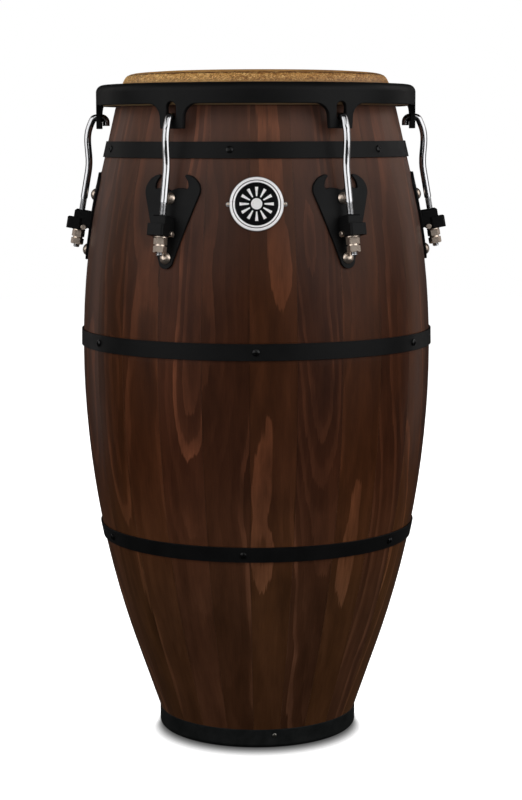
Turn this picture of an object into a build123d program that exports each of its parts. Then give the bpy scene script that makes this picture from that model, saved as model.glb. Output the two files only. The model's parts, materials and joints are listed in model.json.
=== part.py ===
from build123d import *
from math import asin, atan, cos, hypot, radians, sin, sqrt, tan
import os

# A staved conga drum with an 11 3/4 inch head, 30 inches tall, standing on its foot.
# Millimetres, +Z up.  The origin is on the floor on the drum's axis and the badge faces -Y.
# Angles are counted anticlockwise from +X, so the front is at -90 degrees.
# The lug hardware is drawn once at angle 0, in the XZ plane, and repeated round the axis.

os.makedirs("parts", exist_ok=True)

# ---- shell ----------------------------------------------------------------------------
HEIGHT = 762.0  # 30 inches, floor to playing surface
FRONT = -90.0  # angle of the badge
BELLY_RADIUS = 200.1
BELLY_Z = 447.4
UPPER_ARC = 904.5  # radius of the stave's bend above the belly
LOWER_ARC = 1068.7  # and below it
UPPER_STRAIGHT_Z = 652.0  # above this height the stave is straight
LOWER_STRAIGHT_Z = 98.5  # and below this one
WALL = 13.0
STAVES = 24
FIRST_JOINT = FRONT - 2.4  # angle of one glue joint
GLUE_GAP = 0.06
CLEAR = 0.02  # air between pieces that are fastened face to face
COLLAR_REBATE = [(722.0, 160.4), (734.0, 152.2), (741.0, 149.9)]  # height, radius

# ---- head -----------------------------------------------------------------------------
HIDE = 2.6  # thickness of the rawhide
HEAD_EDGE = [  # radius, height, from the collar over the bearing edge
    (153.3, 746.2),
    (151.6, 749.6),
    (149.8, 753.4),
    (146.6, 757.0),
    (141.0, 759.1),
    (133.0, 760.2),
    (115.0, 761.4),
]
EDGE_FIT = 0.35  # air between hide and bearing edge

# ---- bands and foot -------------------------------------------------------------------
BANDS = {  # lowest and highest point, and the angle of one screw
    "upper_band": (666.9, 684.7, FRONT - 9.5),
    "belly_band": (453.2, 471.3, FRONT - 0.3),
    "lower_band": (229.7, 246.6, FRONT - 4.9),
}
BAND_THICK = 2.0
BAND_FIT = 0.12  # room left behind a band
BAND_SCREWS = 6
FOOT_HEIGHT = 21.9
FOOT_RADIUS = 115.5
FOOT_WALL = 3.0
FOOT_FLOOR = 3.0
FOOT_ROUND = 5.0
FOOT_LIP_RADIUS = 97.0
FOOT_SCREWS = 3
FOOT_SCREW_Z = 15.0
FOOT_SCREW_ANGLE = FRONT + 9.4

# ---- counterhoop ----------------------------------------------------------------------
RIM_RADIUS = 182.4
RIM_THICK = 5.0
RIM_LOW = 724.9
RIM_TOP = 747.7
RIM_ROUND = 8.5
RIM_MOUTH = 155.8  # radius of the opening over the hide
RIM_EDGE_ROUND = 1.0  # along the lower edge, the tabs and the slots
TAB_LOW = 698.4
TAB_WIDTH = 29.0
TAB_SHOULDER = 15.0  # radius of the curve from tab to rim
SLOT_WIDTH = 11.5
SLOT_LOW = 706.9
SLOT_TOP = 726.9
TUCK_LOW = 723.6  # the hide is wrapped under the flesh hoop and up behind it
TUCK_TOP = 739.0
TUCK_THICK = 2.4
TUCK_FIT = 0.3
HOOP_INNER = 168.0
HOOP_OUTER = 172.5
HOOP_LOW = 726.8
HOOP_TOP = 742.5

# ---- lugs -----------------------------------------------------------------------------
LUGS = 6
FIRST_LUG = -60.0
ROD_LEAN = 10.0  # degrees the tuning rods lean outward towards the floor
ROD_FOOT = (206.7, 571.0)  # radius and height of a point on the rod's axis
ROD_RADIUS = 4.0  # 5/16 inch
THREAD_ROOT_RADIUS = 3.2
ROD_END = -7.3  # the rest are heights along the rod from ROD_FOOT
THREAD_TOP = 49.5
NUT_LOW = -3.8
NUT_HEIGHT = 15.6
NUT_ACROSS_FLATS = 12.7  # 1/2 inch
NUT_BORE_RADIUS = 3.7
NUT_GROOVE = (1.8, 0.7)  # height, depth into the flats
WASHER_THICK = 1.55
WASHER_RADIUS = 7.4
BRACKET_LOW = 13.45
LIP_TOP = 26.4
BRACKET_TOP = 36.2
BRACKET_HALF = 8.2
BRACKET_CHAMFER = 1.6  # round its top
BRACKET_ROUND = 0.5  # along every edge
BRACKET_DEPTH = 36.0  # before its back is cut to the shape of the shell
BRACKET_REACH = 7.7
LIP_HALF = 10.0
LIP_REACH = 14.5
LIP_UNDERCUT = 2.8  # the block behind the lip starts this much higher
LIP_BACK = -3.4
BRACKET_BORE_RADIUS = 4.3
RIVET_CENTRE = (-5.4, 16.8)  # offset from the rod and height along it
RIVET_RADIUS = 3.2
RIVET_ENDS = (5.6, 11.5)  # distances from the middle of the bracket
PLATE_THICK = 3.0
PLATE_SPAN = (540.0, 656.0)  # heights of the sheet the plate is cut from
PLATE_FIT = 0.1
PLATE_ROUND = 0.5
PLATE_TIP_RADIUS = 8.3
BOLT_HEIGHTS = (623.5, 560.5)
BOLT_HEAD_RADIUS = 6.5
BOLT_HEAD_HEIGHT = 4.4
BOLT_NECK = 6.0
BOLT_RADIUS = 3.0
INSIDE_FIT = 0.3  # the flat washer bridges the hollow of the wall

# ---- badge ----------------------------------------------------------------------------
BADGE_Z = 618.9
BADGE_RADIUS = 29.0
BADGE_RINGS = [(29.0, 26.0), (25.1, 23.2)]  # raised bright rings, outer and inner radius
BADGE_EAR = 30.4  # distance of each screw from the centre
BADGE_BASE = 1.0
BADGE_RAISED = 1.9
ENAMEL_THICK = 0.5
EMBLEM_THICK = 0.5
RAYS = 12


def shell_radius(z):
    """Outer radius of the bare shell at a height."""
    arc = UPPER_ARC if z > BELLY_Z else LOWER_ARC
    bend_z = min(max(z, LOWER_STRAIGHT_Z), UPPER_STRAIGHT_Z)
    depth = sqrt(arc**2 - (bend_z - BELLY_Z) ** 2)
    slope = -(bend_z - BELLY_Z) / depth
    return BELLY_RADIUS - arc + depth + slope * (z - bend_z)


def shell_plane(angle, z, proud=0.0):
    """A plane on the shell with its x along the hoop, its y up and its z outward."""
    step = 0.5
    lean = atan((shell_radius(z - step) - shell_radius(z + step)) / (2 * step))
    turn = radians(angle)
    normal = Vector(cos(lean) * cos(turn), cos(lean) * sin(turn), sin(lean))
    foot = Vector(shell_radius(z) * cos(turn), shell_radius(z) * sin(turn), z)
    return Plane(origin=foot + normal * proud, x_dir=(-sin(turn), cos(turn), 0), z_dir=normal)


def radial_plane(angle, radius, z):
    """An upright plane facing outward, its x along the hoop and its y up."""
    turn = radians(angle)
    return Plane(
        origin=(radius * cos(turn), radius * sin(turn), z),
        x_dir=(-sin(turn), cos(turn), 0),
        z_dir=(cos(turn), sin(turn), 0),
    )


def shell_curve(z_from, z_to, out):
    """Part of the stave's bend, moved outward, as points for a three-point arc."""
    middle = (z_from + z_to) / 2
    return [(shell_radius(z) + out, z) for z in (z_from, middle, z_to)]


def skin(inner, outer, z_low, z_high):
    """Section of a layer that follows the shell between two heights above the belly."""
    with BuildSketch(Plane.XZ) as layer:
        with BuildLine():
            near = ThreePointArc(*shell_curve(z_low, z_high, inner))
            far = ThreePointArc(*shell_curve(z_low, z_high, outer))
            Line(near @ 0, far @ 0)
            Line(near @ 1, far @ 1)
        make_face()
    return layer.sketch


def polygon_section(points):
    """A closed section in radius and height."""
    with BuildSketch(Plane.XZ) as section:
        with BuildLine():
            Polyline(*points, close=True)
        make_face()
    return section.sketch


def head_inset(depth):
    """The head's outer profile moved into the hide."""
    ends = [HEAD_EDGE[0]] + HEAD_EDGE + [HEAD_EDGE[-1]]
    moved = []
    for before, (radius, z), after in zip(ends, HEAD_EDGE, ends[2:]):
        along = (after[0] - before[0], after[1] - before[1])
        length = hypot(*along)
        moved.append((radius - depth * along[1] / length, z + depth * along[0] / length))
    return moved


def lug_angles():
    return [FIRST_LUG + i * 360 / LUGS for i in range(LUGS)]


def save(piece, label):
    piece.part.label = label
    export_step(piece.part, f"parts/{label}.step")


def save_around(piece, label, count, first_angle):
    """Repeat a piece drawn at angle 0 around the axis and write it as one node."""
    with BuildPart() as ring:
        with PolarLocations(0, count, start_angle=first_angle):
            add(piece.part)
    save(ring, label)


def save_on_planes(piece, label, planes):
    """Repeat a piece drawn at the origin, pointing along +Z, on these planes."""
    with BuildPart() as group:
        with Locations(*planes):
            add(piece.part)
    save(group, label)


def round_head(radius, edge, height):
    """Section of a fastener's head: a short straight edge under a spherical crown."""
    crown = height - edge
    ball = (radius**2 + crown**2) / (2 * crown)
    half_way = asin(radius / ball) / 2
    middle = (ball * sin(half_way), height - ball + ball * cos(half_way))
    with BuildSketch(Plane.XZ) as section:
        with BuildLine():
            Polyline((0, height), (0, 0), (radius, 0), (radius, edge))
            ThreePointArc((radius, edge), middle, (0, height))
        make_face()
    return section.sketch


def screw(head_radius, head_height, shank_radius, shank_length, recess_width):
    """A pan-head wood screw with a cross recess, its head standing on z = 0."""
    with BuildPart() as one:
        revolve(round_head(head_radius, head_height * 0.35, head_height), axis=Axis.Z)
        with BuildSketch():
            Circle(shank_radius)
        extrude(amount=-shank_length)
        with BuildSketch(Plane.XY.offset(head_height * 0.35)):
            for turn in (0, 90):
                Rectangle(recess_width * 4.4, recess_width, rotation=turn)
        extrude(amount=head_height, mode=Mode.SUBTRACT)
    return one


def edges_on_skin(piece, radius_at, z_top=HEIGHT):
    """Edges below z_top that lie on a round skin with this radius at each height."""
    chosen = []
    for edge in piece.edges():
        points = [edge @ share for share in (0, 0.25, 0.5, 0.75, 1)]
        off_skin = max(abs(hypot(point.X, point.Y) - radius_at(point.Z)) for point in points)
        if off_skin < 0.2 and max(point.Z for point in points) < z_top:
            chosen.append(edge)
    return chosen


def on_rod(along, out=0.0):
    """Radius and height of a point beside the rod's axis."""
    lean = radians(ROD_LEAN)
    radius = ROD_FOOT[0] - along * sin(lean) + out * cos(lean)
    return (radius, ROD_FOOT[1] + along * cos(lean) + out * sin(lean))


def rod_plane(along=0.0, angle=0.0):
    """A plane square to a tuning rod, its z up the rod and its x away from the shell."""
    lean = radians(ROD_LEAN)
    turn = radians(angle)
    radius, z = on_rod(along)
    return Plane(
        origin=(radius * cos(turn), radius * sin(turn), z),
        x_dir=(cos(lean) * cos(turn), cos(lean) * sin(turn), sin(lean)),
        z_dir=(-sin(lean) * cos(turn), -sin(lean) * sin(turn), cos(lean)),
    )


# ---- where the fasteners go -----------------------------------------------------------
bolt_planes = [
    shell_plane(angle, z, PLATE_FIT + PLATE_THICK + CLEAR)
    for angle in lug_angles()
    for z in BOLT_HEIGHTS
]
band_screw_planes = [
    shell_plane(first + i * 360 / BAND_SCREWS, (low + high) / 2, BAND_FIT + BAND_THICK + 0.05)
    for low, high, first in BANDS.values()
    for i in range(BAND_SCREWS)
]
foot_screw_planes = [
    radial_plane(FOOT_SCREW_ANGLE + i * 360 / FOOT_SCREWS, FOOT_RADIUS + CLEAR, FOOT_SCREW_Z)
    for i in range(FOOT_SCREWS)
]
badge_plane = shell_plane(FRONT, BADGE_Z)


# ---- staves ---------------------------------------------------------------------------
STAVE_LOW = FOOT_FLOOR + 0.1
REBATE_RADIUS = FOOT_RADIUS - FOOT_WALL - 0.1
REBATE_TOP = FOOT_HEIGHT + 0.1
bearing_edge = head_inset(HIDE + EDGE_FIT)[1:5]

with BuildPart() as shell_staves:
    with BuildSketch(Plane.XZ):
        with BuildLine():
            rebate_low = (REBATE_RADIUS - shell_radius(0)) / (shell_radius(1) - shell_radius(0))
            Polyline(
                (shell_radius(STAVE_LOW) - WALL, STAVE_LOW),
                (shell_radius(STAVE_LOW), STAVE_LOW),
                (REBATE_RADIUS, rebate_low),
                (REBATE_RADIUS, REBATE_TOP),
                (shell_radius(REBATE_TOP), REBATE_TOP),
                (shell_radius(LOWER_STRAIGHT_Z), LOWER_STRAIGHT_Z),
            )
            ThreePointArc(*shell_curve(LOWER_STRAIGHT_Z, BELLY_Z, 0))
            ThreePointArc(*shell_curve(BELLY_Z, UPPER_STRAIGHT_Z, 0))
            Polyline(
                (shell_radius(UPPER_STRAIGHT_Z), UPPER_STRAIGHT_Z),
                *[(radius, z) for z, radius in COLLAR_REBATE],
                bearing_edge[0],
            )
            Spline(*bearing_edge)
            Polyline(
                bearing_edge[-1],
                (shell_radius(750) - WALL, 750),
                (shell_radius(UPPER_STRAIGHT_Z) - WALL, UPPER_STRAIGHT_Z),
            )
            ThreePointArc(*shell_curve(UPPER_STRAIGHT_Z, BELLY_Z, -WALL))
            ThreePointArc(*shell_curve(BELLY_Z, LOWER_STRAIGHT_Z, -WALL))
            Line(
                (shell_radius(LOWER_STRAIGHT_Z) - WALL, LOWER_STRAIGHT_Z),
                (shell_radius(STAVE_LOW) - WALL, STAVE_LOW),
            )
        make_face()
    revolve(axis=Axis.Z)
    with Locations(*bolt_planes):
        Cylinder(BOLT_RADIUS + 0.2, 50, mode=Mode.SUBTRACT)
    with Locations(*band_screw_planes):
        Cylinder(1.6, 26, mode=Mode.SUBTRACT)
    with Locations(*foot_screw_planes):
        Cylinder(1.3, 24, mode=Mode.SUBTRACT)
    with Locations(badge_plane):
        with Locations((BADGE_EAR, 0), (-BADGE_EAR, 0)):
            Cylinder(1.0, 16, mode=Mode.SUBTRACT)
    with PolarLocations(0, STAVES, start_angle=FIRST_JOINT):
        Box(
            BELLY_RADIUS * 2,
            GLUE_GAP,
            HEIGHT * 2,
            align=(Align.MIN, Align.CENTER, Align.CENTER),
            mode=Mode.SUBTRACT,
        )
save(shell_staves, "shell_staves")

# ---- bands and foot ring --------------------------------------------------------------
for label, (low, high, _) in BANDS.items():
    inner = [(shell_radius(z) + BAND_FIT, z) for z in (low, high)]
    outer = [(radius + BAND_THICK, z) for radius, z in inner]
    with BuildPart() as band:
        revolve(polygon_section([inner[0], outer[0], outer[1], inner[1]]), axis=Axis.Z)
        fillet(band.edges().filter_by(GeomType.CIRCLE).group_by(SortBy.RADIUS)[-1], 0.4)
        with Locations(*band_screw_planes):
            Cylinder(1.85, 10, mode=Mode.SUBTRACT)
    save(band, label)

with BuildPart() as foot_ring:
    wall_radius = FOOT_RADIUS - FOOT_WALL
    with BuildSketch(Plane.XZ):
        with BuildLine():
            Polyline(
                (FOOT_RADIUS - FOOT_ROUND, 0),
                (FOOT_LIP_RADIUS, 0),
                (FOOT_LIP_RADIUS, FOOT_FLOOR),
                (wall_radius, FOOT_FLOOR),
                (wall_radius, FOOT_HEIGHT),
                (FOOT_RADIUS - 0.8, FOOT_HEIGHT),
            )
            RadiusArc((FOOT_RADIUS - 0.8, FOOT_HEIGHT), (FOOT_RADIUS, FOOT_HEIGHT - 0.8), 0.8)
            Line((FOOT_RADIUS, FOOT_HEIGHT - 0.8), (FOOT_RADIUS, FOOT_ROUND))
            RadiusArc((FOOT_RADIUS, FOOT_ROUND), (FOOT_RADIUS - FOOT_ROUND, 0), FOOT_ROUND)
        make_face()
    revolve(axis=Axis.Z)
    with Locations(*foot_screw_planes):
        Cylinder(1.5, 12, mode=Mode.SUBTRACT)
save(foot_ring, "foot_ring")

band_screw = screw(3.9, 2.2, 1.5, 12.0, 0.95)
save_on_planes(band_screw, "band_screws", band_screw_planes)
foot_screw = screw(2.5, 1.4, 1.2, 11.0, 0.8)
save_on_planes(foot_screw, "foot_screws", foot_screw_planes)

# ---- head -----------------------------------------------------------------------------
with BuildPart() as head_playing_surface:
    under = head_inset(HIDE)
    with BuildSketch(Plane.XZ):
        with BuildLine():
            Spline(*HEAD_EDGE)
            Polyline(HEAD_EDGE[-1], (95, HEIGHT), (0, HEIGHT), (0, HEIGHT - HIDE))
            Polyline((0, HEIGHT - HIDE), (95, HEIGHT - HIDE), under[-1])
            Spline(*reversed(under))
            Line(under[0], HEAD_EDGE[0])
        make_face()
    revolve(axis=Axis.Z)
save(head_playing_surface, "head_playing_surface")

with BuildPart() as head_collar:
    wrap_inner = HOOP_OUTER + TUCK_FIT
    wrap_outer = wrap_inner + TUCK_THICK
    collar_section = [
        (153.3, 746.1),
        (154.9, 740.5),
        (HOOP_INNER - 0.5, HOOP_LOW),
        (HOOP_INNER - 0.1, HOOP_LOW - TUCK_FIT),
        (wrap_inner, HOOP_LOW - TUCK_FIT),
        (wrap_inner, TUCK_TOP),
        (wrap_outer, TUCK_TOP),
        (wrap_outer, TUCK_LOW + 1.6),
        (wrap_outer - 1.7, TUCK_LOW),
        (HOOP_INNER - 1.0, TUCK_LOW),
        (HOOP_INNER - 2.9, TUCK_LOW + 1.6),
        (152.6, 738.9),
        (151.0, 744.94),
    ]
    revolve(polygon_section(collar_section), axis=Axis.Z)
save(head_collar, "head_collar")

# ---- counterhoop ----------------------------------------------------------------------
with BuildPart() as flesh_hoop:
    hoop_points = [
        (HOOP_INNER, HOOP_LOW),
        (HOOP_OUTER, HOOP_LOW),
        (HOOP_OUTER, HOOP_TOP),
        (HOOP_INNER, HOOP_TOP),
    ]
    revolve(polygon_section(hoop_points), axis=Axis.Z)
    fillet(flesh_hoop.edges().filter_by(GeomType.CIRCLE), 1.2)
save(flesh_hoop, "flesh_hoop")

lug_planes = [radial_plane(angle, RIM_RADIUS - 30, 0) for angle in lug_angles()]
shoulder_x = TAB_WIDTH / 2 + 0.6
shoulder_z = RIM_LOW - TAB_SHOULDER
with BuildPart() as between_tabs:
    with BuildSketch(Plane.XY.offset(TAB_LOW - 5)):
        Circle(RIM_RADIUS + 10)
        Circle(RIM_RADIUS - 20, mode=Mode.SUBTRACT)
    extrude(amount=RIM_LOW - TAB_LOW + 5)
    with BuildSketch(*lug_planes):
        with BuildLine():
            Line((0, TAB_LOW), (TAB_WIDTH / 2 - 1.0, TAB_LOW))
            RadiusArc(
                (TAB_WIDTH / 2 - 1.0, TAB_LOW), (TAB_WIDTH / 2, TAB_LOW + 1.0), -1.0
            )
            Line((TAB_WIDTH / 2, TAB_LOW + 1.0), (shoulder_x, shoulder_z))
            RadiusArc(
                (shoulder_x, shoulder_z), (shoulder_x + TAB_SHOULDER, RIM_LOW), TAB_SHOULDER
            )
            Polyline(
                (shoulder_x + TAB_SHOULDER, RIM_LOW),
                (shoulder_x + TAB_SHOULDER, RIM_LOW + 5),
                (0, RIM_LOW + 5),
                (0, TAB_LOW),
            )
        make_face()
        mirror(about=Plane.YZ)
    extrude(amount=60, mode=Mode.SUBTRACT)

with BuildPart() as rim:
    inner_wall = RIM_RADIUS - RIM_THICK
    with BuildSketch(Plane.XZ) as rim_section:
        with BuildLine():
            Polyline(
                (inner_wall, TAB_LOW),
                (RIM_RADIUS, TAB_LOW),
                (RIM_RADIUS, RIM_TOP - RIM_ROUND),
            )
            RadiusArc(
                (RIM_RADIUS, RIM_TOP - RIM_ROUND),
                (RIM_RADIUS - RIM_ROUND, RIM_TOP),
                -RIM_ROUND,
            )
            Polyline(
                (RIM_RADIUS - RIM_ROUND, RIM_TOP),
                (RIM_MOUTH, RIM_TOP),
                (RIM_MOUTH, RIM_TOP - RIM_THICK),
                (inner_wall, RIM_TOP - RIM_THICK),
                (inner_wall, TAB_LOW),
            )
        make_face()
        fillet(rim_section.vertices().sort_by(Axis.X)[:2], 2.0)
    revolve(axis=Axis.Z)
    add(between_tabs.part, mode=Mode.SUBTRACT)
    slot_middle = (SLOT_LOW + SLOT_TOP) / 2
    with BuildSketch(*[radial_plane(angle, RIM_RADIUS, slot_middle) for angle in lug_angles()]):
        SlotOverall(SLOT_TOP - SLOT_LOW, SLOT_WIDTH, rotation=90)
    extrude(amount=RIM_THICK * 2, both=True, mode=Mode.SUBTRACT)
    skirt_edges = edges_on_skin(rim, lambda z: RIM_RADIUS, z_top=RIM_TOP - RIM_ROUND - 1)
    fillet(skirt_edges, RIM_EDGE_ROUND)
save(rim, "rim")

# ---- side plates ----------------------------------------------------------------------
def plate_front(z):
    """Radius of the side plates' outer face."""
    return shell_radius(z) + PLATE_FIT + PLATE_THICK


with BuildPart() as side_plate:
    revolve(skin(PLATE_FIT, PLATE_FIT + PLATE_THICK, *PLATE_SPAN), axis=Axis.Z)
    with BuildSketch(Plane.YZ) as plate_outline:
        with BuildLine():
            tip_z = BOLT_HEIGHTS[1] - 2.9
            hip = (33.7, 628.2)
            flank = PolarLine((hip[0], hip[1]), 75.2, -109.25)
            ThreePointArc(flank @ 1, (4.2, tip_z - 7.2), (0, tip_z - PLATE_TIP_RADIUS))
            ThreePointArc(hip, (34.2, 634.8), (31.3, 641.4))
            ThreePointArc((31.3, 641.4), (25.6, 646.8), (17.9, 649.6))
            ThreePointArc((17.9, 649.6), (16.0, 649.1), (15.8, 647.2))
            ThreePointArc((15.8, 647.2), (19.6, 642.2), (20.9, 636.2))
            Line((20.9, 636.2), (19.3, 634.3))
            ThreePointArc((19.3, 634.3), (11.0, 635.4), (0, 632.2))
            Line((0, 632.2), (0, tip_z - PLATE_TIP_RADIUS))
        make_face()
        mirror(about=Plane.YZ)
    extrude(amount=BELLY_RADIUS * 1.2, mode=Mode.INTERSECT)
    fillet(edges_on_skin(side_plate, plate_front), PLATE_ROUND)
    with Locations(*[shell_plane(0, z) for z in BOLT_HEIGHTS]):
        Box(BOLT_NECK + 0.1, BOLT_NECK + 0.1, 12, mode=Mode.SUBTRACT)
save_around(side_plate, "side_plates", LUGS, FIRST_LUG)

with BuildPart() as lug_bracket:
    with BuildSketch(rod_plane(BRACKET_LOW)):
        with Locations((BRACKET_REACH, 0)):
            Rectangle(BRACKET_DEPTH, BRACKET_HALF * 2, align=(Align.MAX, Align.CENTER))
    extrude(amount=BRACKET_TOP - BRACKET_LOW)
    chamfer(lug_bracket.faces().sort_by(SortBy.DISTANCE)[-1].edges(), BRACKET_CHAMFER)
    with BuildSketch(rod_plane(BRACKET_LOW)) as lip_outline:
        with Locations((LIP_REACH, 0)):
            Rectangle(LIP_REACH + 2, LIP_HALF * 2, align=(Align.MAX, Align.CENTER))
        fillet(lip_outline.vertices(), 2.5)
    extrude(amount=LIP_TOP - BRACKET_LOW)
    with BuildSketch(rod_plane(BRACKET_LOW)):
        with Locations((LIP_BACK, 0)):
            Rectangle(BRACKET_DEPTH, LIP_HALF * 3, align=(Align.MAX, Align.CENTER))
    extrude(amount=LIP_UNDERCUT, mode=Mode.SUBTRACT)
    fillet(lug_bracket.edges(), BRACKET_ROUND)
    with BuildSketch(rod_plane()):
        Circle(BRACKET_BORE_RADIUS)
    extrude(amount=60, mode=Mode.SUBTRACT)
    with BuildSketch(Plane.XZ):
        with Locations(on_rod(RIVET_CENTRE[1], RIVET_CENTRE[0])):
            Circle(RIVET_RADIUS + 0.05)
    extrude(amount=30, both=True, mode=Mode.SUBTRACT)
    plate_side = PLATE_FIT + PLATE_THICK + 0.05
    revolve(skin(-120, plate_side, *PLATE_SPAN), axis=Axis.Z, mode=Mode.SUBTRACT)
save_around(lug_bracket, "lug_brackets", LUGS, FIRST_LUG)

with BuildPart() as bracket_rivet_pair:
    for side in (-1, 1):
        with BuildSketch(Plane.XZ.offset(side * RIVET_ENDS[0])):
            with Locations(on_rod(RIVET_CENTRE[1], RIVET_CENTRE[0])):
                Circle(RIVET_RADIUS)
        extrude(amount=side * (RIVET_ENDS[1] - RIVET_ENDS[0]))
    chamfer(bracket_rivet_pair.edges().filter_by(GeomType.CIRCLE), 0.5)
save_around(bracket_rivet_pair, "bracket_rivets", LUGS, FIRST_LUG)

with BuildPart() as tuning_washer:
    with BuildSketch(rod_plane(BRACKET_LOW - CLEAR)):
        Circle(WASHER_RADIUS)
        Circle(BRACKET_BORE_RADIUS, mode=Mode.SUBTRACT)
    extrude(amount=-WASHER_THICK)
    fillet(tuning_washer.edges().group_by(SortBy.LENGTH)[-1], 0.35)
save_around(tuning_washer, "tuning_washers", LUGS, FIRST_LUG)

# ---- carriage bolts through the staves ------------------------------------------------
with BuildPart() as carriage_bolt:
    revolve(round_head(BOLT_HEAD_RADIUS, 0.8, BOLT_HEAD_HEIGHT), axis=Axis.Z)
    with BuildSketch():
        Rectangle(BOLT_NECK, BOLT_NECK)
    extrude(amount=-(PLATE_THICK - 0.2))
    with BuildSketch():
        Circle(BOLT_RADIUS)
    extrude(amount=-(PLATE_FIT + PLATE_THICK + WALL + 10))
save_on_planes(carriage_bolt, "carriage_bolts", bolt_planes)

washer_back = -(PLATE_FIT + PLATE_THICK + CLEAR + WALL + INSIDE_FIT)
with BuildPart() as inside_washer:
    with BuildSketch(Plane.XY.offset(washer_back)):
        Circle(8.0)
        Circle(BOLT_RADIUS + 0.2, mode=Mode.SUBTRACT)
    extrude(amount=-1.4)
save_on_planes(inside_washer, "inside_washers", bolt_planes)

with BuildPart() as inside_nut:
    with BuildSketch(Plane.XY.offset(washer_back - 1.45)):
        RegularPolygon(radius=5.0, side_count=6, major_radius=False)
        Circle(BOLT_RADIUS + 0.03, mode=Mode.SUBTRACT)
    extrude(amount=-4.8)
save_on_planes(inside_nut, "inside_nuts", bolt_planes)

# ---- tuning hooks and nuts ------------------------------------------------------------
with BuildPart() as hook:
    start = on_rod(THREAD_TOP)
    straight_top = on_rod(80.0)
    with BuildLine(Plane.XZ) as centre_line:
        Line(start, straight_top)
        bow = Spline(
            straight_top,
            (191.7, 661.0),
            (192.1, 671.0),
            (193.0, 684.5),
            (191.6, 697.4),
            (188.0, 706.8),
            (181.4, 711.3),
            tangents=[(-sin(radians(ROD_LEAN)), cos(radians(ROD_LEAN))), (-1, 0)],
        )
        Line(bow @ 1, (176.8, 711.3))
        RadiusArc((176.8, 711.3), (171.5, 706.0), -5.3)
        Line((171.5, 706.0), (171.5, 701.9))
    with BuildSketch(rod_plane(THREAD_TOP)):
        Circle(ROD_RADIUS)
    sweep(path=centre_line.line)
    chamfer(hook.edges().filter_by(GeomType.CIRCLE), 0.35)
    with BuildSketch(rod_plane(ROD_END)):
        Circle(THREAD_ROOT_RADIUS)
    extrude(amount=THREAD_TOP - ROD_END)
    chamfer(hook.edges().filter_by(GeomType.CIRCLE).sort_by(Axis.Z)[0], 0.7)

with BuildPart() as nut:
    flat_radius = NUT_ACROSS_FLATS / 2
    corner_radius = NUT_ACROSS_FLATS / sqrt(3)
    corner_cut = (corner_radius - flat_radius) * tan(radians(30))
    with BuildSketch():
        RegularPolygon(radius=flat_radius, side_count=6, major_radius=False)
    extrude(amount=NUT_HEIGHT)
    nut_profile = [
        (0, 0),
        (flat_radius, 0),
        (corner_radius, corner_cut),
        (corner_radius, NUT_HEIGHT - corner_cut),
        (flat_radius, NUT_HEIGHT),
        (0, NUT_HEIGHT),
    ]
    revolve(polygon_section(nut_profile), axis=Axis.Z, mode=Mode.INTERSECT)
    groove_height, groove_depth = NUT_GROOVE
    with BuildSketch(Plane.XY.offset((NUT_HEIGHT - groove_height) / 2)):
        Circle(corner_radius + 1)
        Circle(flat_radius - groove_depth, mode=Mode.SUBTRACT)
    extrude(amount=groove_height, mode=Mode.SUBTRACT)
    with BuildSketch():
        Circle(NUT_BORE_RADIUS)
    extrude(amount=NUT_HEIGHT, mode=Mode.SUBTRACT)
    bore_mouths = nut.edges().filter_by(GeomType.CIRCLE).group_by(SortBy.RADIUS)[0]
    chamfer(bore_mouths, 0.4)

for number, angle in enumerate(lug_angles(), start=1):
    save_around(hook, f"hook_{number}", 1, angle)
    save_on_planes(nut, f"nut_{number}", [rod_plane(NUT_LOW, angle)])

# ---- badge ----------------------------------------------------------------------------
def badge_piece(outline, inner, outer):
    """A piece with this outline, cut from a curved sheet on the shell's front."""
    with BuildPart() as piece:
        revolve(skin(inner, outer, BADGE_Z - 45, BADGE_Z + 45), axis=Axis.Z)
        extrude(outline.sketch, amount=20, both=True, mode=Mode.INTERSECT)
    return piece


badge_back = PLATE_FIT + BADGE_BASE
enamel_front = badge_back + ENAMEL_THICK

with BuildSketch(badge_plane) as badge_outline:
    Circle(BADGE_RADIUS)
    with Locations((BADGE_EAR, 0), (-BADGE_EAR, 0)):
        Circle(2.4)
        Circle(0.9, mode=Mode.SUBTRACT)

with BuildSketch(badge_plane) as badge_rings:
    for outside, inside in BADGE_RINGS:
        Circle(outside)
        Circle(inside, mode=Mode.SUBTRACT)
        if inside == BADGE_RINGS[0][1]:
            Circle(BADGE_RINGS[1][0])

with BuildSketch(badge_plane) as enamel_outline:
    Circle(BADGE_RINGS[0][1] - 0.03)
    Circle(BADGE_RINGS[1][0] + 0.03, mode=Mode.SUBTRACT)
    Circle(BADGE_RINGS[1][1] - 0.03)

with BuildSketch(badge_plane) as sun:
    Circle(6.0)
    with PolarLocations(8.2, RAYS):
        with Locations((5.0, 0)):
            Trapezoid(3.4, 10.0, 84, rotation=90)

badge_plate = badge_piece(badge_outline, PLATE_FIT, badge_back)
badge_raised = badge_piece(badge_rings, badge_back, PLATE_FIT + BADGE_RAISED)
with BuildPart() as whole_badge:
    add(badge_plate.part)
    add(badge_raised.part)
save(whole_badge, "badge_plate")

badge_enamel = badge_piece(enamel_outline, badge_back + CLEAR, enamel_front)
save(badge_enamel, "badge_enamel")

badge_emblem = badge_piece(sun, enamel_front + CLEAR, enamel_front + EMBLEM_THICK)
save(badge_emblem, "badge_emblem")

badge_screw = screw(1.5, 0.9, 0.8, 6.0, 0.35)
badge_screw_planes = [
    badge_plane.offset(PLATE_FIT + BADGE_BASE) * Location((side * BADGE_EAR, 0, 0))
    for side in (-1, 1)
]
save_on_planes(badge_screw, "badge_screws", badge_screw_planes)
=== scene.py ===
import json
import math

import bpy
from mathutils import Matrix, Vector


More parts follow.
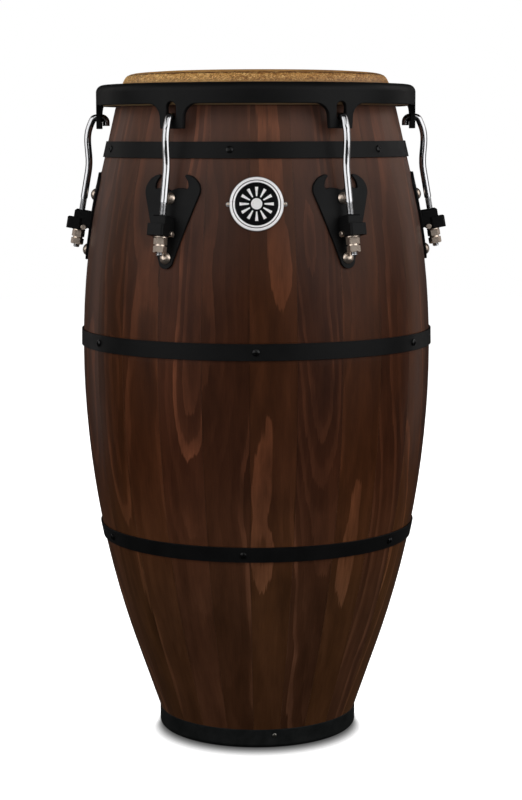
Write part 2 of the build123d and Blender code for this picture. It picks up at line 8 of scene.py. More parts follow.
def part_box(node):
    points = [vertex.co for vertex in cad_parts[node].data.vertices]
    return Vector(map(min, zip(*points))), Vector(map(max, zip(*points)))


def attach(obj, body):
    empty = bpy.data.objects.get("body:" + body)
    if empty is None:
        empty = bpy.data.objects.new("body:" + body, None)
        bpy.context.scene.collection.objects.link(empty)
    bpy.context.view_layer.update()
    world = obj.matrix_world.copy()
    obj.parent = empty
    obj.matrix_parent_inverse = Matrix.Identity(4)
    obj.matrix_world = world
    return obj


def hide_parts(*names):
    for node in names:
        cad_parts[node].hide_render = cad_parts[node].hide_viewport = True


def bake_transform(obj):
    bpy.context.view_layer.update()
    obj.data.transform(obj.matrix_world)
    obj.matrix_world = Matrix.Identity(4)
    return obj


# Looks for a staved conga drum: materials for the CAD nodes, the rawhide head as one skin, thread
# ridges on the tuning hooks, and a white studio.  Metres, +Z up, the badge faces -Y.
# In the materials, lengths are metres and noise scales are features to the metre.

# ---- sizes ----------------------------------------------------------------------------
STAVES = 24
STAVE_ANGLE = 2 * math.pi / STAVES
LUGS = 6
FIRST_JOINT = math.radians(-92.4)  # angle of one glue joint between staves
THREAD_PITCH = 0.0254 / 18
THREAD_ROOT = 0.00317
THREAD_CREST = 0.00366
THREAD_SPAN = (-0.0069, 0.0490)  # along the rod from the point its nut turns about
THREAD_FORM = [(-0.42, 0.0), (-0.06, 1.0), (0.06, 1.0), (0.42, 0.0)]  # in pitches, in depths
THREAD_STEPS = 24  # to a turn
HIDE_THICK = 0.0024
HIDE_SWELL = 0.0009  # the stretched hide stands this much above its CAD solid
HIDE_EDGE = [  # radius, depth below the crown, over the bearing edge and down the collar
    (0.0950, 0.0001),
    (0.1150, 0.0006),
    (0.1330, 0.0018),
    (0.1385, 0.0024),
    (0.1430, 0.0034),
    (0.1466, 0.0050),
    (0.1486, 0.0069),
    (0.1499, 0.0089),
    (0.1517, 0.0126),
    (0.1533, 0.0159),
    (0.1549, 0.0215),
    (0.1612, 0.0286),
]
HEAD_CENTRE = 0.0004  # radius of the innermost ring of points
HEAD_FLAT = 0.0500  # the hide is level out to this radius
HEAD_SEGMENTS = 240
TUCK_FROM = 0.1676  # radius where the hide turns under the flesh hoop
TUCK_HEIGHT = 0.0154
TUCK_ROUND = 0.0018
HOOP_ROOM = 0.0004
UNEVEN = (0.7500, 0.7300)  # heights where the hide starts to be uneven and is fully so
UNEVEN_WAVE = 0.00010
UNEVEN_RIPPLE = 0.00004

# ---- where the finish and the painted light and shade change --------------------------
WOOD_MIDDLE = 0.38  # height the hearts of the logs lean about
BROWN_TO_RED = (0.18, 0.34)  # heights between which the wood's tint changes from browner to redder
PAINTED_SHEEN = (0.52, 0.70)  # heights between which a painted grey sheen fades in over the wood
SHEEN = (0.44, 0.62)  # heights between which the lacquer gets its sheen
BADGE_PAINTED_SHADE_RADII = (0.0283, 0.0290)  # radii between which a painted shade darkens the outer edge of the badge's ring
BADGE_PAINTED_SHADE_FACTOR = 0.2
HIDE_LINE = 0.7583  # height of the dark line round the top of the hide
HIDE_LINE_HALF = 0.0015  # half of the line's width
MOTTLE_LOW = (0.7470, 0.7510)  # heights where the hide's mottled zone fades in
MOTTLE_HIGH = (0.7600, 0.7572)  # heights where it fades out, from the top down
TUCK_PALE = (0.7480, 0.7440)  # heights where the hide turns paler
TUCK_PAINTED_SHADE = (0.7290, 0.7260)  # heights where painted shade darkens its low edge, under the rim
RIM_SHADE = (0.7535, 0.7475)  # heights between which the hide darkens down to the rim
WORN = (0.150, 0.040)  # radii between which the head gets worn from playing
PALE_AND_LIT_SIDE = (-0.17, 0.17)  # the hide is pale at the first x and brown at the second, with painted light and shade

# ---- light and floor ------------------------------------------------------------------
WHITE = (1.0, 1.0, 1.0)
WARM_WHITE = (1.0, 0.96, 0.94)
SKY_IN_REFLECTIONS = 0.03
FLOOR_SIZE = 12.0
FLOOR_GLOW = 1.08
SHADOW_RADIUS = 0.112  # the contact shadow starts just inside the foot
SHADOW_REACH = (0.010, 0.052)  # at the drum's sides, in front of it
SHADOW_DARKEST = 0.07

# ---- photograph -----------------------------------------------------------------------
CAMERA_PLACE = (-0.0081, -2.2970, 0.6949)
CAMERA_DOWN = 0.1344  # radians below the horizon
CAMERA_ROLL = 0.0025
CAMERA_TURN = math.radians(-0.35)
LENS = 89.26

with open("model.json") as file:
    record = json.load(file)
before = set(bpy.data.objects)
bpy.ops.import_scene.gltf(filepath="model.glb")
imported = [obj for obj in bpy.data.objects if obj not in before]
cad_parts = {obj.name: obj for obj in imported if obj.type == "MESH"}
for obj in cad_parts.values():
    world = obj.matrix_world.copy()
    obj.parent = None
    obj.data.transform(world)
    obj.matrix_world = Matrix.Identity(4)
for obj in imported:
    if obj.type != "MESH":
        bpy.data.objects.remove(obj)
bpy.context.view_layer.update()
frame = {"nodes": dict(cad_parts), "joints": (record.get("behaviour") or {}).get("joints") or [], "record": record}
nodes = frame["nodes"]
joints = {joint["name"]: joint for joint in frame["joints"]}


# ---- node graphs ----------------------------------------------------------------------
class Graph:
    """The nodes of one material.  Inputs may be numbers, tuples or other nodes' outputs."""

    def __init__(self, name):
        self.material = bpy.data.materials.new(name)
        self.material.use_nodes = True
        self.tree = self.material.node_tree
        self.surface = self.tree.nodes["Principled BSDF"]
        self.place = self.add("ShaderNodeTexCoord").outputs["Object"]

    def add(self, kind, inputs=None, **settings):
        node = self.tree.nodes.new(kind)
        for name, value in settings.items():
            setattr(node, name, value)
        for name, value in (inputs or {}).items():
            self.feed(node.inputs[name], value)
        return node

    def feed(self, socket, value):
        if isinstance(value, bpy.types.NodeSocket):
            self.tree.links.new(value, socket)
        else:
            socket.default_value = value

    def finish(self, **inputs):
        """Set the surface's inputs; base_color stands for "Base Color" and so on."""
        for name, value in inputs.items():
            title = name.replace("_", " ").title().replace("Ior", "IOR")
            self.feed(self.surface.inputs[title], value)
        return self.material

    def math(self, operation, *values):
        return self.add("ShaderNodeMath", dict(enumerate(values)), operation=operation).outputs[0]

    def blend(self, share, low, high, how="MIX"):
        """Mix two colours.  A Mix node takes colours in at 6 and 7 and gives one out at 2."""
        inputs = {0: share, 6: low, 7: high}
        return self.add("ShaderNodeMix", inputs, data_type="RGBA", blend_type=how).outputs[2]

    def shade(self, body, factor):
        """Darken or lighten a colour by one factor."""
        return self.blend(1.0, body, self.join(factor, factor, factor), "MULTIPLY")

    def between(self, value, from_low, from_high, to_low=0.0, to_high=1.0, soft=False):
        """Carry a value from one range to another, clamped."""
        inputs = {0: value, 1: from_low, 2: from_high, 3: to_low, 4: to_high}
        kind = "SMOOTHSTEP" if soft else "LINEAR"
        return self.add("ShaderNodeMapRange", inputs, interpolation_type=kind).outputs[0]

    def ramp(self, value, *stops):
        """A curve through (position, height) stops."""
        node = self.add("ShaderNodeValToRGB", {0: value})
        points = node.color_ramp.elements
        while len(points) < len(stops):
            points.new(0.5)
        for point, (position, height) in zip(points, stops):
            point.position = position
            point.color = (height, height, height, 1)
        return node.outputs[0]

    def split(self, vector):
        node = self.add("ShaderNodeSeparateXYZ", {0: vector})
        return node.outputs[0], node.outputs[1], node.outputs[2]

    def join(self, x, y, z):
        return self.add("ShaderNodeCombineXYZ", {0: x, 1: y, 2: z}).outputs[0]

    def noise(self, vector, scale, detail=2.0, rough=0.5, bend=0.0):
        inputs = {
            "Vector": vector,
            "Scale": scale,
            "Detail": detail,
            "Roughness": rough,
            "Distortion": bend,
        }
        return self.add("ShaderNodeTexNoise", inputs).outputs[0]

    def swing(self, vector, scale, detail=2.0, rough=0.5):
        """Noise from -0.5 to 0.5."""
        return self.math("SUBTRACT", self.noise(vector, scale, detail, rough), 0.5)

    def luck(self, seed, salt):
        """Three random numbers from 0 to 1 that belong to a whole-number seed."""
        shifted = self.math("ADD", seed, salt)
        node = self.add("ShaderNodeTexWhiteNoise", {"W": shifted}, noise_dimensions="1D")
        return self.split(node.outputs["Color"])

    def bump(self, height, strength, distance):
        inputs = {"Height": height, "Strength": strength, "Distance": distance}
        return self.add("ShaderNodeBump", inputs).outputs[0]

    def from_axis(self, x, y):
        """Distance from the drum's axis."""
        return self.math("SQRT", self.math("MULTIPLY_ADD", x, x, self.math("MULTIPLY", y, y)))


class StaveGraph(Graph):
    """A graph that knows which stave a point is on and where on it the point lies."""

    def __init__(self, name):
        super().__init__(name)
        first_joint = {"Vector": self.place, "Angle": -FIRST_JOINT % STAVE_ANGLE}
        turned = self.add("ShaderNodeVectorRotate", first_joint, rotation_type="Z_AXIS").outputs[0]
        x, y, self.height = self.split(turned)
        count = self.math("DIVIDE", self.math("ARCTAN2", y, x), STAVE_ANGLE)
        self.stave = self.math("FLOOR", count)
        self.apart = self.math("MULTIPLY", self.stave, 7.31)  # keeps the staves' noises apart
        self.centred = self.math("SUBTRACT", self.math("SUBTRACT", count, self.stave), 0.5)
        angle = self.math("MULTIPLY", self.centred, STAVE_ANGLE)
        self.across = self.math("MULTIPLY", angle, self.from_axis(x, y))

    def along(self, stretch):
        """Places for a noise that is drawn out along the stave."""
        return self.join(self.across, self.apart, self.math("MULTIPLY", self.height, stretch))

    def grain(self, stretch, scale, detail=2.0, rough=0.5):
        return self.noise(self.along(stretch), scale, detail, rough)


def colour(red, green, blue):
    return (red, green, blue, 1.0)


# ---- materials ------------------------------------------------------------------------
def log_heart(g, side_luck, lean_luck, depth_luck, slope_luck):
    """Where the heart of a stave's log runs: how far to the side, and how deep behind it."""
    sway = g.swing(g.join(g.apart, 0.0, g.height), 2.6, 1.0)
    dive = g.swing(g.join(g.apart, 5.0, g.height), 3.4, 2.5)
    above_middle = g.math("SUBTRACT", g.height, WOOD_MIDDLE)
    side = g.math("MULTIPLY", g.math("SUBTRACT", side_luck, 0.5), 0.075)
    side = g.math("ADD", side, g.math("MULTIPLY", sway, 0.075))
    lean = g.math("MULTIPLY", g.math("SUBTRACT", lean_luck, 0.5), 0.10)
    side = g.math("MULTIPLY_ADD", lean, above_middle, side)
    depth = g.math("MULTIPLY_ADD", depth_luck, 0.030, 0.010)
    slope = g.math("MULTIPLY", g.math("SUBTRACT", slope_luck, 0.5), 0.16)
    depth = g.math("MULTIPLY_ADD", slope, above_middle, depth)
    depth = g.math("ADD", depth, g.math("MULTIPLY", dive, 0.060))
    return side, depth


def late_wood(g, side, depth, width_luck):
    """Growth rings are cylinders round the heart; their edges are torn along the grain."""
    side = g.math("SUBTRACT", g.across, side)
    radius = g.math(
        "SQRT", g.math("ADD", g.math("MULTIPLY", side, side), g.math("MULTIPLY", depth, depth))
    )
    radius = g.math("MULTIPLY_ADD", g.swing(g.along(0.035), 420.0, 3.0, 0.6), 0.0040, radius)
    radius = g.math("MULTIPLY_ADD", g.swing(g.along(0.16), 60.0), 0.0045, radius)
    spacing = g.math("MULTIPLY_ADD", width_luck, 0.0070, 0.0062)
    rings = g.math("DIVIDE", radius, spacing)
    late = g.ramp(
        g.math("FRACT", rings),
        (0.0, 0.0),
        (0.30, 0.04),
        (0.52, 0.20),
        (0.60, 0.72),
        (0.93, 1.0),
        (0.965, 0.0),
    )
    ring_seed = g.math("MULTIPLY_ADD", g.stave, 61.0, g.math("FLOOR", rings))
    late = g.math("MULTIPLY", late, g.between(g.luck(ring_seed, 12.0)[0], 0.30, 1.0, 0.10, 1.0))
    fading = g.grain(0.30, 34.0, 3.0, 0.6)
    return g.math("MULTIPLY", late, g.between(fading, 0.32, 0.58, 0.30, 1.0))


def tint_and_painted_light(g, wood):
    """Browner low, redder high; painted shade on the belly, painted light and sheen on top."""
    browner, redder = colour(0.98, 1.12, 1.20), colour(0.98, 0.87, 0.78)
    tint = g.blend(g.between(g.height, *BROWN_TO_RED), browner, redder)
    wood = g.blend(1.0, wood, tint, "MULTIPLY")
    # Painted light and shade: the wood is made darker over the belly, lighter low down and on top.
    strength = g.ramp(
        g.height,
        (0.06, 1.0),
        (0.25, 0.92),
        (0.36, 0.66),
        (0.64, 0.62),
        (0.70, 1.0),
    )
    wood = g.blend(1.0, wood, strength, "MULTIPLY")
    # Painted sheen: the wood is blended towards grey over the top of the shell.
    return g.blend(g.between(g.height, *PAINTED_SHEEN, 0.0, 0.12), wood, colour(0.24, 0.18, 0.16))


def stave_wood():
    """Plain-sawn softwood staves under a dark walnut stain; bare wood inside."""
    g = StaveGraph("stave_wood")
    side_luck, depth_luck, slope_luck = g.luck(g.stave, 40.0)
    width_luck, tone, warm = g.luck(g.stave, 340.0)
    side, depth = log_heart(g, side_luck, tone, depth_luck, slope_luck)
    late = late_wood(g, side, depth, width_luck)
    fibre = g.grain(0.02, 1500.0, 3.0, 0.65)
    cloud = g.grain(0.35, 22.0, 3.0, 0.55)
    fleck = g.grain(0.10, 900.0, 1.0)
    blotch = g.grain(0.22, 48.0, 4.0, 0.65)

    ground = g.blend(warm, colour(0.066, 0.0220, 0.0098), colour(0.076, 0.0262, 0.0074))
    streak = g.blend(warm, colour(0.235, 0.0850, 0.0420), colour(0.210, 0.0730, 0.0290))
    wood = g.blend(late, ground, streak)
    wood = g.blend(g.between(cloud, 0.30, 0.75, 0.0, 0.42), wood, colour(0.112, 0.0400, 0.0180))
    shade = g.math("MULTIPLY_ADD", tone, 0.40, 0.74)
    shade = g.math("MULTIPLY", shade, g.between(fibre, 0.25, 0.75, 0.80, 1.16))
    shade = g.math("MULTIPLY", shade, g.between(fleck, 0.70, 0.78, 1.0, 0.62))
    shade = g.math("MULTIPLY", shade, g.between(blotch, 0.30, 0.70, 0.70, 1.28))
    joint = g.between(g.math("ABSOLUTE", g.centred), 0.488, 0.499, 1.0, 0.55, soft=True)
    wood = tint_and_painted_light(g, g.shade(wood, g.math("MULTIPLY", shade, joint)))

    # Inside the shell the wood is neither stained nor lacquered.
    outward = g.add("ShaderNodeTexCoord").outputs["Normal"]
    facing = g.add("ShaderNodeVectorMath", {0: outward, 1: g.place}, operation="DOT_PRODUCT")
    inside = g.math("LESS_THAN", facing.outputs["Value"], 0.0)
    bare = g.blend(late, colour(0.42, 0.27, 0.14), colour(0.33, 0.19, 0.09))
    bare = g.blend(g.between(fibre, 0.3, 0.7, 0.0, 0.35), bare, colour(0.24, 0.14, 0.07))

    rough = g.between(cloud, 0.2, 0.8, 0.40, 0.32)
    relief = g.math("ADD", g.math("MULTIPLY", fibre, 0.35), g.math("MULTIPLY", late, 0.5))
    return g.finish(
        base_color=g.blend(inside, wood, bare),
        roughness=g.math("MAXIMUM", rough, g.math("MULTIPLY", inside, 0.75)),
        specular_ior_level=0.075,
        sheen_weight=g.between(g.height, *SHEEN, 0.0, 0.15),
        sheen_roughness=0.5,
        sheen_tint=colour(1.0, 0.80, 0.72),
        normal=g.bump(relief, 0.22, 0.0004),
    )


def powder_coat(name, tint=0.0052, rough=0.46, grain=1.0, sheen=0.09):
    """Satin black finish with a faint orange peel and small differences in gloss."""
    g = Graph(name)
    peel = g.noise(g.place, 900.0, 2.0, 0.5)
    cloud = g.noise(g.place, 38.0, 4.0, 0.6)
    dust = g.noise(g.place, 2600.0, 1.0)
    body = g.blend(
        g.between(cloud, 0.3, 0.7),
        colour(tint * 0.85, tint * 0.86, tint * 0.88),
        colour(tint * 1.15, tint * 1.16, tint * 1.2),
    )
    body = g.blend(g.between(dust, 0.72, 0.80, 0.0, 0.25), body, colour(0.06, 0.06, 0.06))
    return g.finish(
        base_color=body,
        roughness=g.between(cloud, 0.3, 0.7, rough - 0.05, rough + 0.06),
        specular_ior_level=sheen,
        normal=g.bump(peel, 0.10 * grain, 0.0003),
    )


def foot_rubber():
    """Moulded black rubber, slightly scuffed."""
    g = Graph("foot_rubber")
    skin = g.noise(g.place, 1400.0, 3.0, 0.6)
    scuff = g.noise(g.place, 60.0, 5.0, 0.65)
    body = g.blend(
        g.between(scuff, 0.4, 0.75), colour(0.0060, 0.0070, 0.0070), colour(0.013, 0.014, 0.014)
    )
    return g.finish(
        base_color=body,
        roughness=g.between(scuff, 0.3, 0.7, 0.42, 0.58),
        specular_ior_level=0.11,
        normal=g.bump(skin, 0.15, 0.0003),
    )


def plated(name, tint, rough, wear):
    """Plated metal with fine scratches and faint tarnish."""
    g = Graph(name)
    lines = g.noise(g.place, 2200.0, 2.0, 0.6, 0.4)
    tarnish = g.noise(g.place, 120.0, 4.0, 0.6)
    dark = colour(*[channel * 0.72 for channel in tint])
    body = g.blend(g.between(tarnish, 0.45, 0.8, 0.0, wear * 4), colour(*tint), dark)
    return g.finish(
        base_color=body,
        metallic=1.0,
        roughness=g.between(tarnish, 0.3, 0.8, rough, rough + wear),
        normal=g.bump(lines, 0.05, 0.0001),
    )


def badge_metal():
    """Satin chrome; painted shade on the ring's outer edge, where it turns down to the wood."""
    g = Graph("badge_metal")
    low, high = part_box("badge_plate")
    brushed = g.noise(g.place, 2400.0, 2.0, 0.6, 0.4)
    bloom = g.noise(g.place, 150.0, 3.0, 0.6)
    middle = g.add("ShaderNodeVectorMath", {0: g.place, 1: (low + high) / 2}, operation="DISTANCE")
    # Painted shade: the ring is darkened beyond a radius from the badge's middle.
    edge = g.between(middle.outputs["Value"], *BADGE_PAINTED_SHADE_RADII, 1.0, BADGE_PAINTED_SHADE_FACTOR)
    body = g.blend(g.between(bloom, 0.35, 0.75), colour(1.0, 0.98, 0.98), colour(0.93, 0.91, 0.92))
    return g.finish(
        base_color=g.shade(body, edge),
        metallic=0.15,
        roughness=g.between(bloom, 0.3, 0.7, 0.26, 0.34),
        normal=g.bump(brushed, 0.06, 0.0001),
    )


def badge_enamel():
    """Glossy black enamel fill."""
    g = Graph("badge_black")
    ripple = g.noise(g.place, 260.0, 3.0, 0.55)
    specks = g.noise(g.place, 1800.0, 1.0)
    body = g.blend(
        g.between(specks, 0.68, 0.78), colour(0.004, 0.004, 0.0045), colour(0.012, 0.012, 0.013)
    )
    return g.finish(
        base_color=body,
        roughness=g.between(ripple, 0.3, 0.7, 0.16, 0.26),
        specular_ior_level=0.10,
        normal=g.bump(ripple, 0.08, 0.0002),
    )


def rawhide():
    """Unbleached hide: golden, mottled where it is stretched over the edge."""
    g = Graph("rawhide")
    x, y, z = g.split(g.place)
    cloud = g.noise(g.place, 14.0, 5.0, 0.62, 0.6)
    drawn_out = g.join(g.math("MULTIPLY", x, 0.7), g.math("MULTIPLY", y, 0.7), z)
    mottle = g.noise(drawn_out, 520.0, 4.0, 0.75, 1.0)
    veins = g.noise(g.place, 75.0, 5.0, 0.75, 2.0)
    pores = g.noise(g.place, 1900.0, 2.0, 0.6)

    # Dark spots and veins, and a dark line where the hide bends over the edge.
    hide = g.blend(g.between(cloud, 0.3, 0.7), colour(0.52, 0.24, 0.062), colour(0.74, 0.38, 0.115))
    edge_zone = g.math("MULTIPLY", g.between(z, *MOTTLE_LOW), g.between(z, *MOTTLE_HIGH))
    spots = g.between(mottle, 0.50, 0.42)
    spots = g.math("MULTIPLY", spots, g.between(edge_zone, 0.0, 1.0, 0.22, 0.92))
    hide = g.blend(spots, hide, colour(0.22, 0.088, 0.018))
    hide = g.blend(g.between(veins, 0.56, 0.70, 0.0, 0.45), hide, colour(0.25, 0.115, 0.038))
    waver = g.math("MULTIPLY", g.math("SUBTRACT", veins, 0.5), 0.0030)
    off_line = g.math("ABSOLUTE", g.math("SUBTRACT", g.math("ADD", z, waver), HIDE_LINE))
    line = g.between(off_line, 0.0, HIDE_LINE_HALF, 1.0, 0.0, soft=True)
    hide = g.blend(line, hide, colour(0.10, 0.028, 0.005))

    # The tuck is paler at first, with painted shade at its low edge; the middle of the head is worn.
    tuck = g.between(z, *TUCK_PALE, 0.0, 0.35)
    hide = g.blend(tuck, hide, colour(0.46, 0.36, 0.22))
    hide = g.blend(g.between(z, *TUCK_PAINTED_SHADE, 0.0, 0.6), hide, colour(0.10, 0.062, 0.030))
    worn = g.between(g.from_axis(x, y), *WORN)
    worn = g.math("MULTIPLY", worn, g.between(cloud, 0.3, 0.8, 0.0, 0.3))
    hide = g.blend(worn, hide, colour(0.62, 0.42, 0.22))
    glints = g.math("MULTIPLY", g.between(mottle, 0.53, 0.60, 0.0, 0.80), edge_zone)
    hide = g.blend(glints, hide, colour(1.0, 0.67, 0.30))
    hide = g.shade(hide, g.between(z, *RIM_SHADE, 1.0, 0.60))

    # The hide is paler and yellower on one side, browner on the other, partly from painted light.
    # Painted light on the pale side, painted shade on the brown side, over the hide's own colour.
    pale, brown = colour(1.24, 1.32, 1.28), colour(0.72, 0.66, 0.58)
    tint = g.blend(g.between(x, *PALE_AND_LIT_SIDE), pale, brown)
    hide = g.blend(1.0, hide, tint, "MULTIPLY")
    relief = g.math("ADD", g.math("MULTIPLY", mottle, 0.6), g.math("MULTIPLY", pores, 0.4))
    return g.finish(
        base_color=hide,
        roughness=g.between(mottle, 0.3, 0.7, 0.40, 0.60),
        specular_ior_level=0.45,
        subsurface_weight=0.08,
        subsurface_radius=(0.004, 0.002, 0.001),
        normal=g.bump(relief, 0.35, 0.0005),
    )


def paper():
    """The pale studio floor; the drum's soft contact shadow falls towards the camera."""
    g = Graph("studio_paper")
    grain = g.noise(g.place, 420.0, 3.0, 0.6)
    body = g.blend(grain, colour(0.93, 0.93, 0.93), colour(0.97, 0.97, 0.97))
    x, y, _ = g.split(g.place)
    radius = g.from_axis(x, y)
    in_front = g.math("DIVIDE", g.math("MULTIPLY", y, -1.0), g.math("MAXIMUM", radius, 0.01))
    reach = g.between(in_front, 0.0, 1.0, *SHADOW_REACH)
    outside = g.math("DIVIDE", g.math("SUBTRACT", radius, SHADOW_RADIUS), reach)
    shade = g.between(outside, 0.0, 1.0, SHADOW_DARKEST, 1.0, soft=True)
    return g.finish(
        base_color=g.shade(body, shade),
        roughness=0.9,
        emission_color=colour(*WHITE),
        emission_strength=g.math("MULTIPLY", shade, FLOOR_GLOW),
        normal=g.bump(grain, 0.05, 0.0003),
    )


MATERIALS = {
    "stave_wood": stave_wood(),
    "black_steel": powder_coat("black_steel"),
    "black_screw": powder_coat("black_screw", tint=0.003, rough=0.26, grain=0.5, sheen=0.20),
    "foot_rubber": foot_rubber(),
    "chrome_rod": plated("chrome_rod", (0.44, 0.44, 0.45), 0.09, wear=0.05),
    "nickel": plated("nickel", (0.70, 0.58, 0.48), 0.32, wear=0.10),
    "zinc_screw": plated("zinc_screw", (0.14, 0.135, 0.12), 0.34, wear=0.12),
    "raw_steel": plated("raw_steel", (0.50, 0.50, 0.49), 0.36, wear=0.16),
    "badge_metal": badge_metal(),
    "badge_black": badge_enamel(),
    "rawhide": rawhide(),
}

slot_of = {part["node"]: part["material_slot"] for part in frame["record"]["subparts"]}
for name, node in nodes.items():
    node.data.materials.clear()
    node.data.materials.append(MATERIALS[slot_of[name]])


# ---- pieces ---------------------------------------------------------------------------
def mesh_piece(name, points, faces, slot):
    mesh = bpy.data.meshes.new(name)
    mesh.from_pydata(points, [], faces)
    mesh.polygons.foreach_set("use_smooth", [True] * len(faces))
    mesh.materials.append(MATERIALS[slot])
    piece = bpy.data.objects.new(name, mesh)
    bpy.context.scene.collection.objects.link(piece)
    return piece


def loop_faces(rows, columns):
    """Quads of a grid whose rows of points run right round."""
    faces = []
    for row in range(rows - 1):
        below = row + 1
        for column in range(columns):
            after = (column + 1) % columns
            faces.append(
                (
                    row * columns + column,
                    row * columns + after,
                    below * columns + after,
                    below * columns + column,
                )
            )
    return faces


def arc(centre, radius, start, end, steps):
    """Points on an arc in the plane of radius and height, angles in degrees."""
    points = []
    for step in range(steps + 1):
        turn = math.radians(start + (end - start) * step / steps)
        points.append((centre[0] + radius * math.cos(turn), centre[1] + radius * math.sin(turn)))
    return points


def inset(points, depth):
    """A line of points moved to its right, seen along it."""
    moved = []
    for before, (radius, z), after in zip([points[0]] + points, points, points[1:] + [points[-1]]):
        along = (after[0] - before[0], after[1] - before[1])
        length = math.hypot(*along)
        moved.append((radius + depth * along[1] / length, z - depth * along[0] / length))
    return moved


def head_profile():
    """Radius and height round the hide's section, from the middle of the top, outward."""
    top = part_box("head_playing_surface")[1].z + HIDE_SWELL
    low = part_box("head_collar")[0].z
    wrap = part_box("head_collar")[1].x
    hoop_low, hoop_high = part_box("flesh_hoop")
    outer = [(HEAD_CENTRE, top), (HEAD_FLAT, top)]
    outer += [(radius, top - drop) for radius, drop in HIDE_EDGE]
    behind_hoop = hoop_high.x + HOOP_ROOM
    under_hoop = hoop_low.z - HOOP_ROOM / 2
    tucked = [(TUCK_FROM, under_hoop), (behind_hoop, under_hoop), (behind_hoop, low + TUCK_HEIGHT)]
    end_round = (wrap - behind_hoop) / 2
    tucked += arc((wrap - end_round, low + TUCK_HEIGHT), end_round, 180, 0, steps=4)
    tucked += arc((wrap - TUCK_ROUND, low + TUCK_ROUND), TUCK_ROUND, 0, -90, steps=5)
    tucked += arc((TUCK_FROM, low + TUCK_ROUND), TUCK_ROUND, -90, -140, steps=3)
    return outer + tucked + inset(outer, HIDE_THICK)[::-1]


def rawhide_head():
    """The whole head as one skin; its edge and tuck are a little uneven, as hide is."""
    profile = head_profile()
    points = []
    for radius, z in profile:
        for step in range(HEAD_SEGMENTS):
            turn = 2 * math.pi * step / HEAD_SEGMENTS
            wave = math.sin(3 * turn + 0.7) + 0.6 * math.sin(7 * turn + 2.1)
            ripple = math.sin(19 * turn + 1.3) + 0.7 * math.sin(43 * turn)
            loose = min(max((UNEVEN[0] - z) / (UNEVEN[0] - UNEVEN[1]), 0.0), 1.0)
            uneven = loose * (UNEVEN_WAVE * wave + UNEVEN_RIPPLE * ripple)
            points.append((radius * math.cos(turn), radius * math.sin(turn), z + uneven))
    faces = loop_faces(len(profile), HEAD_SEGMENTS)
    faces.append(tuple(reversed(range(HEAD_SEGMENTS))))
    faces.append(tuple(range(len(points) - HEAD_SEGMENTS, len(points))))
    faces = [tuple(reversed(face)) for face in faces]
    head = mesh_piece("rawhide_head", points, faces, "rawhide")
    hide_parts("head_playing_surface", "head_collar")
    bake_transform(head)


def thread_ridge(number):
    """The raised helix of a hook's thread, round the axis its nut turns about."""
    joint = joints[f"nut_{number}_turn"]
    along = Vector(joint["axis"]).normalized()
    place = Matrix.Translation(joint["pos_m"]) @ along.to_track_quat("Z", "Y").to_matrix().to_4x4()
    low, high = THREAD_SPAN
    steps = int((high - low) / THREAD_PITCH * THREAD_STEPS)
    points = []
    for step in range(steps + 1):
        turn = 2 * math.pi * step / THREAD_STEPS
        # The ridge rises and dies away over half a turn at its two ends.
        run_out = min(1.0, 2 * step / THREAD_STEPS, 2 * (steps - step) / THREAD_STEPS)
        for shift, rise in THREAD_FORM:
            radius = THREAD_ROOT + (THREAD_CREST - THREAD_ROOT) * rise * run_out
            z = low + THREAD_PITCH * (step / THREAD_STEPS + shift)
            points.append(place @ Vector((radius * math.cos(turn), radius * math.sin(turn), z)))
    faces = []
    for step in range(steps):
        for side in range(len(THREAD_FORM) - 1):
            first = step * len(THREAD_FORM) + side
            second = first + len(THREAD_FORM)
            faces.append((first, second, second + 1, first + 1))
    ridge = mesh_piece(f"hook_{number}_thread", points, faces, "chrome_rod")
    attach(ridge, f"hook_{number}")


rawhide_head()
for number in range(1, LUGS + 1):
    thread_ridge(number)


# ---- studio ---------------------------------------------------------------------------
def softbox(name, place, aim, width, height, power, tint=WHITE, lights="all"):
    """A rectangular lamp; lights may be "surfaces" (matt only) or "gloss" (reflections only)."""
    light = bpy.data.lights.new(name, "AREA")
    light.shape = "RECTANGLE"
    light.size = width
    light.size_y = height
    light.energy = power
    light.color = tint
    lamp = bpy.data.objects.new(name, light)
    bpy.context.scene.collection.objects.link(lamp)
    lamp.location = place
    lamp.rotation_euler = (Vector(aim) - Vector(place)).to_track_quat("-Z", "Y").to_euler()
    lamp.visible_camera = False
    lamp.visible_glossy = lights != "surfaces"
    lamp.visible_diffuse = lights != "gloss"


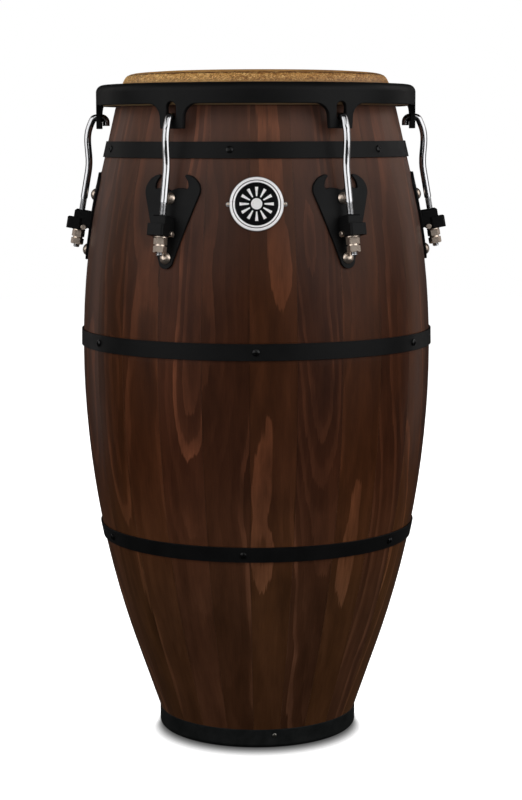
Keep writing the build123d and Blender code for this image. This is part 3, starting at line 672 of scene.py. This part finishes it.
def studio_floor():
    half = FLOOR_SIZE / 2
    mesh = bpy.data.meshes.new("studio_floor")
    corners = [(-half, -half, 0.0), (half, -half, 0.0), (half, half, 0.0), (-half, half, 0.0)]
    mesh.from_pydata(corners, [], [(0, 1, 2, 3)])
    mesh.materials.append(paper())
    floor = bpy.data.objects.new("studio_floor", mesh)
    bpy.context.scene.collection.objects.link(floor)
    floor.visible_diffuse = False
    floor.visible_glossy = False


def studio_sky():
    """White behind the drum, dim grey in what the drum reflects."""
    world = bpy.data.worlds.new("studio")
    world.use_nodes = True
    tree = world.node_tree
    seen = tree.nodes.new("ShaderNodeLightPath")
    strength = tree.nodes.new("ShaderNodeMapRange")
    strength.inputs["To Min"].default_value = SKY_IN_REFLECTIONS
    strength.inputs["To Max"].default_value = 1.0
    tree.links.new(seen.outputs["Is Camera Ray"], strength.inputs[0])
    tree.links.new(strength.outputs[0], tree.nodes["Background"].inputs["Strength"])
    tree.nodes["Background"].inputs["Color"].default_value = colour(*WHITE)
    bpy.context.scene.world = world


studio_floor()
studio_sky()
# Lamps in watts; the light from the right is the stronger.
for side, power, high_power in ((-1, 29, 2), (1, 34, 5)):
    softbox("main", (side * 2.0, -1.15, 1.25), (0, 0, 0.45), 2.4, 2.0, power)
    softbox("edge", (side * 1.7, 1.3, 0.8), (0, 0, 0.40), 0.6, 2.0, 2.4, WARM_WHITE)
    softbox("high edge", (side * 1.9, 0.7, 1.7), (0, 0, 0.60), 1.4, 1.2, high_power, WARM_WHITE)
    softbox("card", (side * 1.15, -2.6, 1.30), (0, 0, 0.60), 0.9, 1.2, 5.6, lights="gloss")
softbox("over", (0, -1.9, 2.4), (0, 0, 0.55), 2.4, 1.0, 9)
softbox("back", (0, 2.5, 1.3), (0, 0, 0.40), 3.0, 1.8, 20, lights="surfaces")
softbox("bounce", (0, -1.5, 0.02), (0, -1.3, 1.0), 3.0, 1.6, 14, lights="surfaces")

camera = bpy.data.objects.new("camera", bpy.data.cameras.new("camera"))
bpy.context.scene.collection.objects.link(camera)
camera.data.lens = LENS
camera.data.clip_end = 50
camera.location = CAMERA_PLACE
camera.rotation_euler = (math.pi / 2 - CAMERA_DOWN, CAMERA_ROLL, CAMERA_TURN)
bpy.context.scene.camera = camera
bpy.context.scene.view_settings.view_transform = "Standard"
bpy.context.scene.cycles.use_denoising = True
